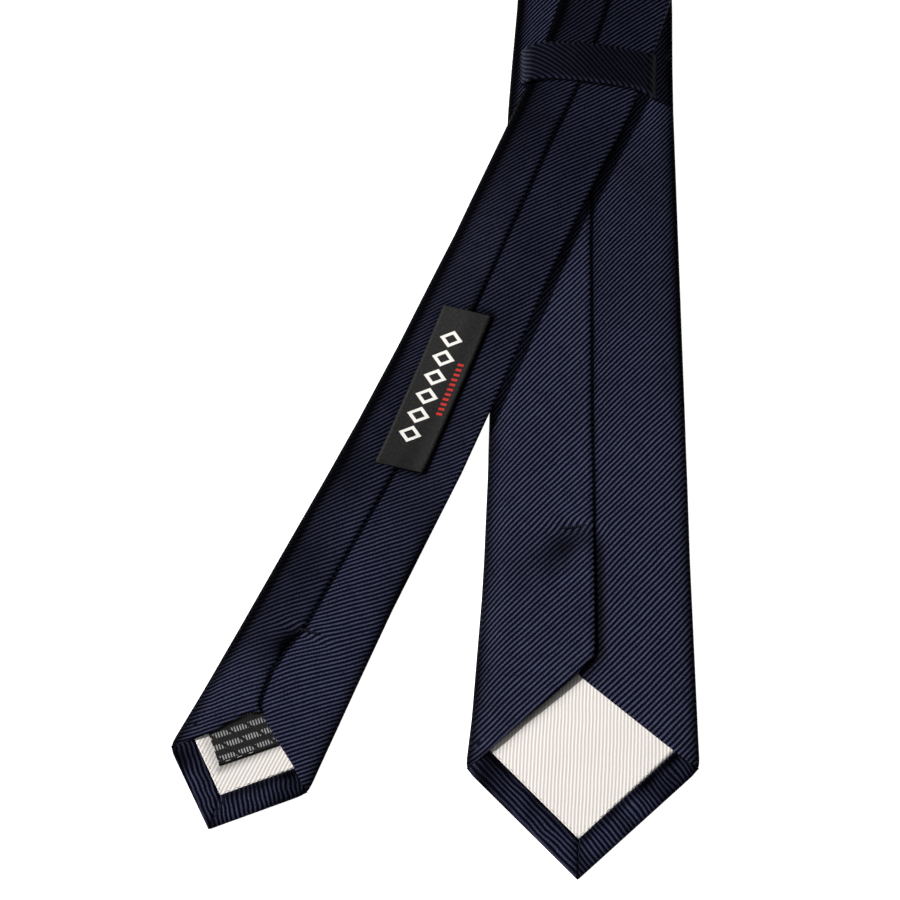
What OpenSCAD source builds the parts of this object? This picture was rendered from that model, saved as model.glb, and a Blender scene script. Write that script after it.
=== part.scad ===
// Necktie laid face down: the wide blade runs along +Y, the narrow tail crosses it
// through a keeper loop, and the neck stands on its edge in a teardrop loop.
// Positions along the tie are lengths from the wide blade's tip to the tail's tip.

/* [Wide blade] */
// Greatest width of the wide blade
blade_w = 70; // [60:1:80]
// Length of the pointed end, from its tip to its corners
blade_point = 33.8; // [28:0.2:38]
// Width lost for each millimetre along the blade
blade_taper = 0.102; // [0.08:0.002:0.12]
// Depth of the hem turned in along the left side of the point
blade_hem_left = 9.1; // [8:0.1:11]
// Depth of the hem turned in along the right side of the point
blade_hem_right = 9.7; // [8:0.1:11]
// Distance from the tip to the top of the envelope opening
blade_opening = 68; // [60:1:75]
// Distance from the tip to the bar tack
blade_tack = 106.5; // [90:0.5:112]
// Distance from the tip to the line where the blade end lifts
blade_fold = 128; // [120:1:132]

/* [Tail] */
// Greatest width of the narrow tail
tail_w = 43.3; // [38:0.1:48]
// Length of the tail's pointed end
tail_point = 19.6; // [17:0.2:22]
// Width lost for each millimetre along the tail
tail_taper = 0.068; // [0.05:0.002:0.08]
// Depth of the tail's hem on the left side of its point
tail_hem_left = 6.6; // [6:0.1:8]
// Depth of the tail's hem on the right side of its point
tail_hem_right = 10; // [8:0.1:10]
// Distance from the tail's tip to the top of its opening
tail_opening = 38.7; // [34:0.1:44]
// Distance from the tail's tip to its bar tack
tail_tack = 66.5; // [60:0.5:75]
// Distance from the keeper to the line where the tail end lifts
tail_fold = 45; // [40:1:50]

/* [Whole tie] */
// Length of the tie from tip to tip
tie_len = 1480; // [1420:10:1540]
// Width of the neck band
neck_w = 31.5; // [29:0.5:34]

/* [Cloth] */
// Thickness of the silk
silk = 0.4; // [0.3:0.05:0.5]
// Thickness of the wool interlining
wool = 0.9; // [0.7:0.1:1.1]
// Thickness of the tipping in the pointed ends
lining = 0.3; // [0.2:0.05:0.4]
// Thickness of the woven labels
tape = 0.3; // [0.2:0.05:0.4]
// Thickness of the sewing thread
thread = 0.3; // [0.2:0.05:0.4]

/* [Labels] */
// Length of the woven label along the tail
label_l = 51; // [45:1:55]
// Width of the woven label
label_w = 14.8; // [12:0.2:18]
// Angle between the woven label and the tail
label_turn = 3.8; // [0:0.2:5]
// Distance from the keeper to the label's middle
label_at = 106; // [100:1:110]
// Length of the care label in the tail
care_l = 26; // [20:1:28]
// Width of the care label
care_w = 16; // [12:1:18]

/* [Keeper] */
// Distance from the blade's tip to the keeper
keeper_at = 243; // [235:1:250]
// Length of the keeper across the blade
keeper_l = 41; // [40.6:0.1:42]
// Width of the keeper's strip
keeper_w = 10.6; // [8:0.2:12]
// Angle of the keeper to the square across the blade
keeper_turn = 4.3; // [0:0.1:5]

/* [Lay] */
// Length of tail that hangs below the keeper
tail_below = 255.3; // [250:0.1:260]
// Angle of the tail below the keeper to the blade
tail_lean = 25.9; // [24:0.1:28]
// Angle between the two sides of the neck loop
neck_lean = 17; // [16:0.5:19]
// Sideways place of the tail where it passes the keeper
cross_x = -0.8; // [-1:0.1:-0.4]

/* [Hidden] */

// Gap left between two bodies of the tie
gap = 0.3;
// Bottoms of the layers, from the face cloth on the table up to the upper flap
z_wool = silk;
z_lining = z_wool + wool;
z_care = z_lining + lining;
z_under = z_care + tape;
z_stitch = z_under + silk;
z_upper = z_stitch + thread;
thick = z_upper + silk;
z_over = thick + gap;
// Room over the tail inside the keeper, the keeper's doubled cloth and its middle
keeper_room = 0.4;
keeper_t = 2 * silk;
keeper_middle = [-1.6, keeper_at + 1.5];

// Lengths of the loose ends that lift
blade_end_l = blade_fold - gap / 2;
tail_end_l = tail_below - tail_fold - gap / 2;

// Depth to which the under flap reaches past the seam
flap_lap = 9;
// Length of the tipping
blade_lining_l = 119;
tail_lining_l = 84;
// Sideways place of the seam at the top of each opening
blade_seam_x = 2.3;
tail_seam_x = -2.7;
// Length of blade that lies flat before the band starts to turn on its edge
flat_len = 378;
// Spacing of the rings that the band is built from
ring_step = 5;
// Length that a stitch row keeps clear of at its ends
row_end = 8;

// The neck loop: both sides touch one arc and meet at one point on the blade
cross_y = keeper_at - cross_x / tan(neck_lean);
cross_to_keeper = -cross_x / sin(neck_lean);
loop_len = tie_len - cross_y - cross_to_keeper - tail_below;
arc_turn = 180 + neck_lean;
loop_r = loop_len / (2 / tan(neck_lean / 2) + arc_turn * PI / 180);
side_len = loop_r / tan(neck_lean / 2);
u_arc = cross_y + side_len;
u_arc_end = u_arc + loop_r * arc_turn * PI / 180;
u_cross = u_arc_end + side_len;
u_keeper = u_cross + cross_to_keeper;

// Stretches over which the band turns between flat and on edge
blade_roll_from = cross_y + 140;
tail_roll_to = u_cross - 185;
roll_len = 155;
// Stretch over which the tail comes down off the blade, above the keeper
tail_down_from = u_cross - 152;
tail_down_to = u_cross - 190;
// The three sewn sections of silk meet at these places
front_seam = 560;
back_seam = 930;

// Where the tail end comes down to the table, from the tail's own tip
tail_rest = tail_below - 180;
tail_raised = tail_below - 135;

// The finished part stands on the middle of its base
left_x = keeper_point()[0] - (tail_below - tail_point) * sin(tail_lean)
    - tail_w / 2 * cos(tail_lean);
right_x = 2 * loop_r + thick / 2;
top_y = u_arc + loop_r + thick / 2;
base_middle = [(left_x + right_x) / 2, top_y / 2, 0];

function keeper_point() = [cross_x, keeper_at];
function heading_of(angle) = [sin(angle), cos(angle)];
function smooth(x) = let (t = min(1, max(0, x))) t * t * (3 - 2 * t);

// Half the tie's width at a place along it
function half_width(u) = max(neck_w / 2,
    (blade_w - blade_taper * (u - blade_point)) / 2,
    (tail_w - tail_taper * (tie_len - u - tail_point)) / 2);

// The band's centre line on the table, and its direction clockwise from +Y
function arc_angle(u) = (u - u_arc) / loop_r * 180 / PI;
function centre(u) =
    u < u_arc ? [0, u]
    : u < u_arc_end ? [loop_r, u_arc] + loop_r * [-cos(arc_angle(u)), sin(arc_angle(u))]
    : u < u_keeper ? keeper_point() + (u_keeper - u) * heading_of(neck_lean)
    : keeper_point() - (u - u_keeper) * heading_of(tail_lean);
function heading(u) =
    u < u_arc ? 0
    : u < u_arc_end ? arc_angle(u)
    : u < u_keeper ? arc_turn
    : u == u_keeper ? 180 + (neck_lean + tail_lean) / 2
    : 180 + tail_lean;
function roll(u) = 90 * (u < (u_arc + u_arc_end) / 2
    ? smooth((u - blade_roll_from) / roll_len)
    : smooth((tail_roll_to - u) / roll_len));
function lift(u) = z_over * smooth((u - tail_down_to) / (tail_down_from - tail_down_to));

// A point of the band: v is across it to the left of its run, n is up through it
function band_point(u, v, n) = let (
    c = centre(u), h = heading(u), r = roll(u),
    left = [-cos(h), sin(h), 0], up = [0, 0, 1],
    across = left * cos(r) + up * sin(r),
    through = up * cos(r) - left * sin(r),
    middle = lift(u) + half_width(u) * sin(r) + thick / 2 * cos(r))
    [c[0], c[1], middle] + v * across + (n - thick / 2) * through;
function band_ring(u, inset, low, high) = let (v = half_width(u) - inset)
    [band_point(u, v, low), band_point(u, v, high),
    band_point(u, -v, high), band_point(u, -v, low)];

function two_triangles(a, b, c, d) = [[a, b, c], [a, c, d]];

// Faces between the rings. The lowest side's triangles are turned, so that opposite sides
// of the band stay parallel where it twists.
function side_faces(rings, stride, first, inwards) = [
    for (k = [0:rings - 2], i = [0:3]) let (
        a = k * stride + first + i, b = k * stride + first + (i + 1) % 4,
        far_a = a + stride, far_b = b + stride,
        quad = inwards ? [b, far_b, far_a, a] : [far_a, far_b, b, a],
        turn = i == 3 ? 1 : 0)
    each two_triangles(quad[turn], quad[turn + 1], quad[turn + 2], quad[(turn + 3) % 4])];
function rim_faces(start, inwards) = [
    for (i = [0:3]) let (j = (i + 1) % 4,
        a = start + i, b = start + j, c = start + 4 + j, d = start + 4 + i)
    each (inwards ? two_triangles(d, c, b, a) : two_triangles(a, b, c, d))];

// Places along the band: its ends, the shared rings between them, and the bend at the keeper
function steps(from, to) = let (
    inner = [for (k = [ceil((from + 1) / ring_step):floor((to - 1) / ring_step)]) k * ring_step],
    bend = from < u_keeper && to > u_keeper ? [u_keeper] : [])
    concat([from], [for (u = inner) if (u < u_keeper - 1) u], bend,
        [for (u = inner) if (u > u_keeper + 1) u], [to]);

// A closed strip and an open tube that follow the band
module band_strip(from, to, inset, low, high) {
    places = steps(from, to);
    last = 4 * (len(places) - 1);
    polyhedron(
        points = [for (u = places) each band_ring(u, inset, low, high)],
        faces = concat(side_faces(len(places), 4, 0, false),
            two_triangles(0, 1, 2, 3), two_triangles(last + 3, last + 2, last + 1, last)));
}

module band_tube(from, to) {
    places = steps(from, to);
    last = 8 * (len(places) - 1);
    polyhedron(
        points = [for (u = places) each concat(
            band_ring(u, 0, 0, thick), band_ring(u, silk, silk, thick - silk))],
        faces = concat(side_faces(len(places), 8, 0, false), side_faces(len(places), 8, 4, true),
            rim_faces(0, false), rim_faces(last, true)));
}

// A pointed end has its tip at the origin and its corners at half its width.
// Its data are [width, length of the point, taper, left hem, right hem, opening, seam].
blade = [blade_w, blade_point, blade_taper, blade_hem_left, blade_hem_right,
    blade_opening, blade_seam_x];
tail = [tail_w, tail_point, tail_taper, tail_hem_left, tail_hem_right,
    tail_opening, tail_seam_x];
function slope_of(end) = end[1] / (end[0] / 2);
function reach_of(end) = sqrt(1 + pow(slope_of(end), 2));
function edge_at(end, x, inset) = abs(x) * slope_of(end) + inset * reach_of(end);
function side_at(end, y) = max(neck_w, end[0] - end[2] * (y - end[1])) / 2;
function knee_of(end) = end[1] + (end[0] - neck_w) / end[2];

// The outline of a pointed end, drawn in by an inset
function outline(end, to, inset) = let (
    corner = end[0] / 2 - inset, knee = knee_of(end),
    side = concat([[corner, edge_at(end, corner, inset)]],
        knee < to ? [[neck_w / 2 - inset, knee]] : [],
        [[side_at(end, to) - inset, to]]))
    concat([[0, edge_at(end, 0, inset)]], side,
        [for (i = [len(side) - 1:-1:0]) [-side[i][0], side[i][1]]]);

// Where the two hems meet, and the V they make along the pointed end
function hem_corner(end) = [
    (end[3] - end[4]) * reach_of(end) / (2 * slope_of(end)),
    (end[3] + end[4]) * reach_of(end) / 2];
function hem_end(end, depth) = let (y = edge_at(end, end[0] / 2, depth), x = side_at(end, y))
    [x, edge_at(end, x, depth)];
function hem_outline(end) = let (left = hem_end(end, end[3]), right = hem_end(end, end[4]))
    [[0, 0], [end[0] / 2, end[1]], right, hem_corner(end), [-left[0], left[1]],
    [-end[0] / 2, end[1]]];

// The tipping before the hem is taken from it: a pointed sheet up to its own top edge
function lining_outline(end, top) = outline(end, top, 1.5 * silk);

// A flap's outline: side is -1 for the upper, left flap and 1 for the under, right one
function flap_outline(end, to, side) = let (
    width = end[0], opening = end[5], seam = end[6],
    edge = side < 0
        ? [[seam - 0.13 * width / 2, opening - 0.08 * width], [seam, opening]]
        : [[seam - 0.04 * width, opening - 0.1 * width], [seam - flap_lap, opening - 2]],
    inner = side < 0 ? seam : seam - flap_lap,
    knee = knee_of(end))
    concat([[side * width / 2, end[1]]], edge, [[inner, to], [side * side_at(end, to), to]],
        knee < to ? [[side * neck_w / 2, knee]] : []);

// A layer that lies level
module level(bottom, height) {
    translate([0, 0, bottom]) linear_extrude(height) children();
}

// A layer of the tail end: raised where it lies on the blade, then down on the table
module on_tail(bottom, height) {
    reach = tail_below;
    low = [[-1, 0], [tail_rest, 0], [tail_raised, z_over], [reach, z_over]];
    profile = concat([for (p = low) [p[0], p[1] + bottom]],
        [for (i = [3:-1:0]) [low[i][0], low[i][1] + bottom + height]]);
    intersection() {
        linear_extrude(4 * thick) children();
        rotate([90, 0, 90]) linear_extrude(2 * tail_w, center = true) polygon(profile);
    }
}

// Frames: the finished part, and the tail end with its tip at the origin
module placed() {
    translate(-base_middle) children();
}

module in_tail() {
    tip = keeper_point() - tail_below * heading_of(tail_lean);
    translate([tip[0], tip[1], 0]) rotate(-tail_lean) children();
}

// The walls that join the face cloth to the hem and, above the corners, to the flaps
module wall_ring(end, to) {
    difference() {
        polygon(outline(end, to, 0));
        polygon(outline(end, to + 1, silk));
    }
}

module side_walls(end, to) {
    difference() {
        wall_ring(end, to);
        translate([-end[0], -1]) square([2 * end[0], end[1] + 1]);
    }
}

// Stitches in a row along +Y
module stitch_row(from, to, length, pitch) {
    for (y = [from:pitch:to - length]) translate([-thread / 2, y]) square([thread, length]);
}

// Stitches along the hem's inner edge, on the tipping
module hem_stitches(end, limit) {
    pitch = 2.6;
    angle = atan(slope_of(end));
    start = hem_corner(end) + [0, thread * reach_of(end)];
    for (side = [-1, 1], d = [2:pitch:limit])
        translate(start + [side * d * cos(angle), d * sin(angle)])
            rotate(side * angle) square([1.6, thread], center = true);
}

// Wide blade, from the fold line up to the first sewn seam
module front_blade_shell() {
    color("midnightblue") placed() band_tube(blade_fold + gap / 2, front_seam);
}

module front_interlining() {
    color("ivory") placed()
        band_strip(blade_fold + gap / 2, front_seam - 1, 2 * silk, z_wool + 0.05, z_lining);
}

module front_slip_stitch() {
    color("navy") placed() level(z_stitch, thread)
        stitch_row(blade_fold + row_end, flat_len - row_end, 5, 11);
}

// The thread of the seam between two sections, across the band inside it
module front_neck_seam() {
    color("navy") placed()
        band_strip(front_seam - 0.8, front_seam - 0.3, 2 * silk, z_wool, z_wool + thread);
}

module tail_neck_seam() {
    color("navy") placed()
        band_strip(back_seam + 0.5, back_seam + 1, 2 * silk, z_wool, z_wool + thread);
}

// Neck section between the two seams
module neck_shell() {
    color("midnightblue") placed() band_tube(front_seam, back_seam);
}

module neck_interlining() {
    color("ivory") placed()
        band_strip(front_seam + 0.2, back_seam - 0.2, 2 * silk, z_wool + 0.05, z_lining);
}

// Keeper: a strip that stands on the blade at both ends and bridges the tail
module keeper_profile() {
    top = z_over + thick + keeper_room + keeper_t - thick;
    bend = 1.6;
    arc = [for (a = [0:15:90]) bend * [cos(a), sin(a)]];
    outer = concat([[keeper_l / 2, 0]],
        [for (p = arc) [keeper_l / 2 - bend, top - bend] + p],
        [for (i = [len(arc) - 1:-1:0]) [-keeper_l / 2 + bend - arc[i][0], top - bend + arc[i][1]]],
        [[-keeper_l / 2, 0]]);
    difference() {
        polygon(outer);
        translate([-keeper_l / 2 + keeper_t, -1])
            square([keeper_l - 2 * keeper_t, top - keeper_t + 1]);
    }
}

module at_keeper() {
    translate([keeper_middle[0], keeper_middle[1], thick]) rotate(-keeper_turn) children();
}

module keeper_loop() {
    color("midnightblue") placed() at_keeper()
        rotate([90, 0, 0]) linear_extrude(keeper_w, center = true) keeper_profile();
}

module keeper_stitches() {
    reach = keeper_l / 2 + thread / 2;
    color("navy") placed() at_keeper()
        for (side = [-1, 1], y = [-keeper_w / 2 + 1.5:2.5:keeper_w / 2 - 1.5])
            translate([side * reach, y, 0.4]) cube([thread, 1.4, 0.8], center = true);
}

// The loose end of the wide blade
module blade_end_shell() {
    color("midnightblue") placed() {
        level(0, silk) polygon(outline(blade, blade_end_l, 0));
        level(0, z_lining + silk) wall_ring(blade, blade_end_l);
        level(0, thick) side_walls(blade, blade_end_l);
        level(z_lining, silk) polygon(hem_outline(blade));
        level(z_under, silk) polygon(flap_outline(blade, blade_end_l, 1));
        level(z_upper, silk) polygon(flap_outline(blade, blade_end_l, -1));
    }
}

module blade_end_interlining() {
    color("ivory") placed() level(z_wool, wool) polygon(outline(blade, blade_end_l, 2 * silk));
}

module front_tipping() {
    color("linen") placed() level(z_lining, lining) difference() {
        polygon(lining_outline(blade, blade_lining_l));
        polygon(hem_outline(blade));
    }
}

module front_tipping_stitches() {
    color("linen") placed() level(z_lining + lining, thread / 2) hem_stitches(blade, 36);
}

module front_bar_tack() {
    color("navy") placed() translate([-2.9, blade_tack, thick]) rotate(8)
        translate([-4.7, -0.45, 0]) cube([9.4, 0.9, thread]);
}

// Tail from the second sewn seam, through the keeper, to its fold line
module tail_shell() {
    color("midnightblue") placed() band_tube(back_seam + gap, u_keeper + tail_fold - gap / 2);
}

module tail_interlining() {
    color("ivory") placed() band_strip(back_seam + 1.5, u_keeper + tail_fold - gap / 2,
        2 * silk, z_wool + 0.05, z_lining);
}

// The loose end of the tail
module tail_end_shell() {
    color("midnightblue") placed() in_tail() {
        on_tail(0, silk) polygon(outline(tail, tail_end_l, 0));
        on_tail(0, z_lining + silk) wall_ring(tail, tail_end_l);
        on_tail(0, thick) side_walls(tail, tail_end_l);
        on_tail(z_lining, silk) polygon(hem_outline(tail));
        on_tail(z_under, silk) polygon(flap_outline(tail, tail_end_l, 1));
        on_tail(z_upper, silk) polygon(flap_outline(tail, tail_end_l, -1));
    }
}

module tail_end_interlining() {
    color("ivory") placed() in_tail()
        on_tail(z_wool, wool) polygon(outline(tail, tail_end_l, 2 * silk));
}

module tail_tipping() {
    color("linen") placed() in_tail() on_tail(z_lining, lining) difference() {
        polygon(lining_outline(tail, tail_lining_l));
        polygon(hem_outline(tail));
    }
}

module tail_tipping_stitches() {
    color("linen") placed() in_tail() level(z_lining + lining, thread / 2)
        hem_stitches(tail, 13);
}

module tail_bar_tack() {
    color("navy") placed() in_tail() translate([tail_seam_x - 1, tail_tack, thick])
        cube([6.6, 0.9, thread]);
}

module tail_slip_stitch() {
    color("navy") placed() in_tail() on_tail(z_stitch, thread)
        translate([tail_seam_x - 2, 0])
        stitch_row(tail_tack + row_end, tail_end_l - row_end, 5, 11);
}

// Woven label across the tail's seam, held by tack stitches at its corners
module at_label() {
    translate([0, tail_below - label_at, z_over + thick]) rotate(label_turn) children();
}

module woven_label() {
    color("darkslategray") placed() in_tail() at_label()
        translate([-label_w / 2, -label_l / 2, 0]) cube([label_w, label_l, tape]);
}

module label_stitches() {
    color("black") placed() in_tail() at_label()
        for (x = [-1, 1], y = [-1, 1])
            translate([x * (label_w / 2 - 1.2), y * (label_l / 2 - 0.8), tape + thread / 2])
                cube([1.6, thread, thread], center = true);
}

// Care label on the tail's tipping: slanted, its upper part under the flaps
module at_care() {
    translate([-5.6, 18.6]) rotate(46) children();
}

module care_label() {
    color("black") placed() in_tail() level(z_care, tape) at_care() square([care_l, care_w]);
}

module care_label_stitches() {
    color("white") placed() in_tail() level(z_under, thread / 2) at_care()
        for (x = [2:4:care_l - 14]) translate([x, 1]) square([1.6, thread]);
}

front_blade_shell();
front_interlining();
front_slip_stitch();
front_neck_seam();
neck_shell();
neck_interlining();
keeper_loop();
keeper_stitches();
blade_end_shell();
blade_end_interlining();
front_tipping();
front_tipping_stitches();
front_bar_tack();
tail_shell();
tail_interlining();
tail_neck_seam();
tail_end_shell();
tail_end_interlining();
tail_tipping();
tail_tipping_stitches();
tail_bar_tack();
tail_slip_stitch();
woven_label();
label_stitches();
care_label();
care_label_stitches();
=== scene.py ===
"""A navy ribbed silk necktie laid face down on a pale table.

Lengths inside the script are millimetres in the tie's own plan: the wide blade's tip is the
origin, +Y runs up the blade, +X is right as seen from above, and z is height over the table.
row() turns them into metres in the row frame.
"""

import math

import bmesh
import bpy
import numpy as np
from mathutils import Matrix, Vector


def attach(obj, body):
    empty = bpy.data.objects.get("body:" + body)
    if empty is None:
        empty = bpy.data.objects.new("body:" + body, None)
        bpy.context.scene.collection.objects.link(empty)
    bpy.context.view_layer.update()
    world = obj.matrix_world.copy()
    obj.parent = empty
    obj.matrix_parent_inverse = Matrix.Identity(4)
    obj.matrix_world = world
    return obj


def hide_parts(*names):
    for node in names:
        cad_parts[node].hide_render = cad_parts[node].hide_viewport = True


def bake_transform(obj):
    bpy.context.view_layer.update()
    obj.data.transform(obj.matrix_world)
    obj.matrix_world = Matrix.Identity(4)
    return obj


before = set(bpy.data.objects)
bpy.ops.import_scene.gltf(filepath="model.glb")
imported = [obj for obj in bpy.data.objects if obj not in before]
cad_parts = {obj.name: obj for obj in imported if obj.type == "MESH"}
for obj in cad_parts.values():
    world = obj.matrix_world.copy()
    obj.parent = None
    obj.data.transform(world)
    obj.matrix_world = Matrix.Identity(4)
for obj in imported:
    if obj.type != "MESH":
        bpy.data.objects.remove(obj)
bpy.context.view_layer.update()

# ---- the tie's path
ORIGIN = np.array([-2.82012, 346.774, 0.0])
TIE = 1480.0
NECK_W = 31.5
BLADE_W, BLADE_POINT, BLADE_TAPER = 70.0, 33.8, 0.102
TAIL_W, TAIL_POINT, TAIL_TAPER = 43.3, 19.95, 0.068
KEEPER = np.array([-0.8, 243.0])
TAIL_BELOW = 255.3
TAIL_LEAN, NECK_LEAN = 25.9, 17.0
FRONT_SEAM, BACK_SEAM = 560.0, 930.0
THICK = 3.0
OVER = 3.9

CROSS_Y = KEEPER[1] - KEEPER[0] / math.tan(math.radians(NECK_LEAN))
TO_KEEPER = -KEEPER[0] / math.sin(math.radians(NECK_LEAN))
ARC_TURN = 180 + NECK_LEAN
HALF_TAN = math.tan(math.radians(NECK_LEAN / 2))
RADIUS = (TIE - CROSS_Y - TO_KEEPER - TAIL_BELOW) / (2 / HALF_TAN + math.radians(ARC_TURN))
SIDE = RADIUS / HALF_TAN
U_ARC = CROSS_Y + SIDE
U_ARC_END = U_ARC + RADIUS * math.radians(ARC_TURN)
U_CROSS = U_ARC_END + SIDE
U_KEEPER = U_CROSS + TO_KEEPER


def row(points):
    """Millimetres in the tie's plan to metres in the row frame."""
    return (np.asarray(points, float) - ORIGIN) / 1000


def smooth(x):
    t = np.clip(x, 0, 1)
    return t * t * (3 - 2 * t)


def unit(degrees):
    """A direction in plan, measured clockwise from +Y."""
    a = np.radians(degrees)
    return np.stack([np.sin(a), np.cos(a)], -1)


def blade_half(y):
    return np.maximum(NECK_W / 2, (BLADE_W - BLADE_TAPER * (y - BLADE_POINT)) / 2)


def tail_half(y):
    return np.maximum(NECK_W / 2, (TAIL_W - TAIL_TAPER * (y - TAIL_POINT)) / 2)


def half_width(u):
    return np.maximum(blade_half(u), tail_half(TIE - u))


def path(u):
    """The band's centre line in plan and its heading, clockwise from +Y."""
    u = np.asarray(u, float)[..., None]
    angle = (u - U_ARC) / RADIUS
    arc = np.array([RADIUS, U_ARC]) + RADIUS * np.concatenate([-np.cos(angle), np.sin(angle)], -1)
    place = np.where(u < U_ARC, np.concatenate([0 * u, u], -1), arc)
    place = np.where(u >= U_ARC_END, KEEPER + (U_KEEPER - u) * unit(NECK_LEAN), place)
    place = np.where(u >= U_KEEPER, KEEPER - (u - U_KEEPER) * unit(TAIL_LEAN), place)
    angle = np.degrees(angle)
    turn = np.where(u < U_ARC, 0, np.where(u < U_ARC_END, angle, ARC_TURN))
    turn = np.where(u >= U_KEEPER, 180 + TAIL_LEAN, turn)
    return place, turn[..., 0]


def eased_path(u):
    """The same line with its bends eased, as cloth with a filling lies."""
    steps = np.linspace(-14, 14, 9)
    found = [path(np.asarray(u, float) + s) for s in steps]
    return sum(f[0] for f in found) / 9, sum(f[1] for f in found) / 9


def drape(x, y):
    """Height of the tail's underside: up on the blade, down on the table beyond its edge."""
    off = -blade_half(y) - x
    return OVER * (1 - smooth((off + 5) / 32))


BLADE_EASE = ([34, 48, 84, 96, 108, 120, 132, 139, 200, 232, 245, 262, 300],
              [0, -0.8, -1.4, -1.3, -1.0, -0.75, -0.3, 0, 0.2, 0.6, 0.4, 0, 0],
              [0.2, 0, -0.45, -0.6, -0.6, -0.6, -0.65, -0.65, -0.9, -1.0, -0.8, -0.3, 0])
TAIL_EASE = ([14, 36, 60, 84, 110, 130, 156, 180, 204, 232, 250],
             [0, -0.9, -1.5, -1.9, -2.4, -2.6, -2.3, -1.5, -0.9, -0.4, 0],
             [0, -0.1, -0.1, 0, 0.8, 1.5, 1.4, 0.9, 0, -0.45, 0])


def ease_sides(y, x, half, table):
    """Moves a point sideways with the blade's left (first) and right edge."""
    places, left, right = table
    left, right = np.interp(y, places, left), np.interp(y, places, right)
    return x + (right - left) / 2 + (right + left) / 2 * x / half


def band(u, v, n, lay="flat"):
    """A point of the band: v to the left of its run, n up through it from the face."""
    u, v, n = np.broadcast_arrays(*(np.asarray(a, float) for a in (u, v, n)))
    half = half_width(u)
    v = np.where(u < 300, -ease_sides(u, -v, half, BLADE_EASE), v)
    v = np.where(u > TIE - 250, ease_sides(TIE - u, v, half, TAIL_EASE), v)
    place, turn = eased_path(u)
    h = np.radians(turn)
    up_to = (U_ARC + U_ARC_END) / 2
    r = np.radians(90 * np.where(u < up_to, smooth((u - CROSS_Y - 140) / 155),
                                 smooth((U_CROSS - 185 - u) / 155)))
    left = np.stack([-np.cos(h), np.sin(h), 0 * h], -1)
    up = np.array([0, 0, 1.0])
    across = left * np.cos(r)[..., None] + up * np.sin(r)[..., None]
    through = up * np.cos(r)[..., None] - left * np.sin(r)[..., None]
    middle = half_width(u) * np.sin(r) + THICK / 2 * np.cos(r)
    flat = np.concatenate([place, middle[..., None]], -1)
    point = flat + v[..., None] * across + (n - THICK / 2)[..., None] * through
    if lay == "tail":
        raised = OVER * smooth((u - U_CROSS + 190) / 38)
        point[..., 2] += np.where(u < U_KEEPER - 60, raised, drape(point[..., 0], point[..., 1]))
    return point


def on_blade(x, y, z):
    """Blade frame: as the plan, except that the point was cut a little askew."""
    x, y = np.asarray(x, float), np.asarray(y, float)
    lower = 1.1 * np.clip(-x / 35, 0, 1) * (1 - smooth((y - 34) / 30))
    return band(y - lower, np.clip(1 - y / 34, 0, 1) - x, z)


def on_tail(x, y, z):
    """Tail frame: y from the tail's tip, x to the right with the tip at the bottom."""
    return band(TIE - np.asarray(y, float), np.asarray(x, float), z, "tail")


# ---- soft unevenness
def waves(x, y, seed, size, count=9):
    """Smooth random waves of about that size, from -1 to 1."""
    rng = np.random.default_rng(seed)
    total = 0
    for _ in range(count):
        angle, phase = rng.uniform(0, 2 * math.pi, 2)
        k = 2 * math.pi / (size * rng.uniform(0.6, 1.6))
        total = total + np.sin(k * (x * math.cos(angle) + y * math.sin(angle)) + phase)
    return total / count * 1.6


# ---- meshes
def grid_faces(rows, columns, start):
    k = np.arange(rows - 1)[:, None] * columns + np.arange(columns - 1)[None, :] + start
    return np.stack([k, k + 1, k + columns + 1, k + columns], -1).reshape(-1, 4)


def placed(name, mesh):
    """The mesh as a smooth-shaded object of the scene."""
    mesh.polygons.foreach_set("use_smooth", [True] * len(mesh.polygons))
    thing = bpy.data.objects.new(name, mesh)
    bpy.context.scene.collection.objects.link(thing)
    return thing


def cloth(name, patches, merge=0.05):
    """One mesh from grids. Each patch is (points in mm, (across, along) cloth coordinates)."""
    points, faces, marks, shades, start = [], [], [], [], 0
    for place, fabric, *dark in patches:
        rows, columns = place.shape[:2]
        points.append(place.reshape(-1, 3))
        # an optional third item of a patch is its painted shade, from 0 to 1
        shades.append(np.broadcast_to(dark[0] if dark else 0.0, (rows, columns)).reshape(-1))
        marks.append(fabric.reshape(-1, 2) / 1000)
        faces.append(grid_faces(rows, columns, start))
        start += rows * columns
    points, faces, marks = np.concatenate(points), np.concatenate(faces), np.concatenate(marks)
    mesh = bpy.data.meshes.new(name)
    mesh.from_pydata(row(points).tolist(), [], faces.tolist())
    # the painted shade is kept as the point attribute shade, which darkens the looks' colour
    shade = mesh.attributes.new("shade", "FLOAT", "POINT")
    shade.data.foreach_set("value", np.clip(np.concatenate(shades), 0, 1).astype(np.float32))
    layer = mesh.uv_layers.new(name="cloth")
    loops = np.zeros(len(mesh.loops), np.int32)
    mesh.loops.foreach_get("vertex_index", loops)
    layer.data.foreach_set("uv", marks[loops].astype(np.float32).ravel())
    work = bmesh.new()
    work.from_mesh(mesh)
    bmesh.ops.remove_doubles(work, verts=work.verts, dist=merge / 1000)
    bmesh.ops.dissolve_degenerate(work, edges=work.edges, dist=merge / 2000)
    work.to_mesh(mesh)
    work.free()
    return placed(name, mesh)


def thicken(thing, thickness):
    mod = thing.modifiers.new("cloth", "SOLIDIFY")
    mod.thickness = thickness / 1000
    mod.offset = 0
    mod.use_even_offset = False
    return thing


THREAD_SIDES = 6


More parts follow.
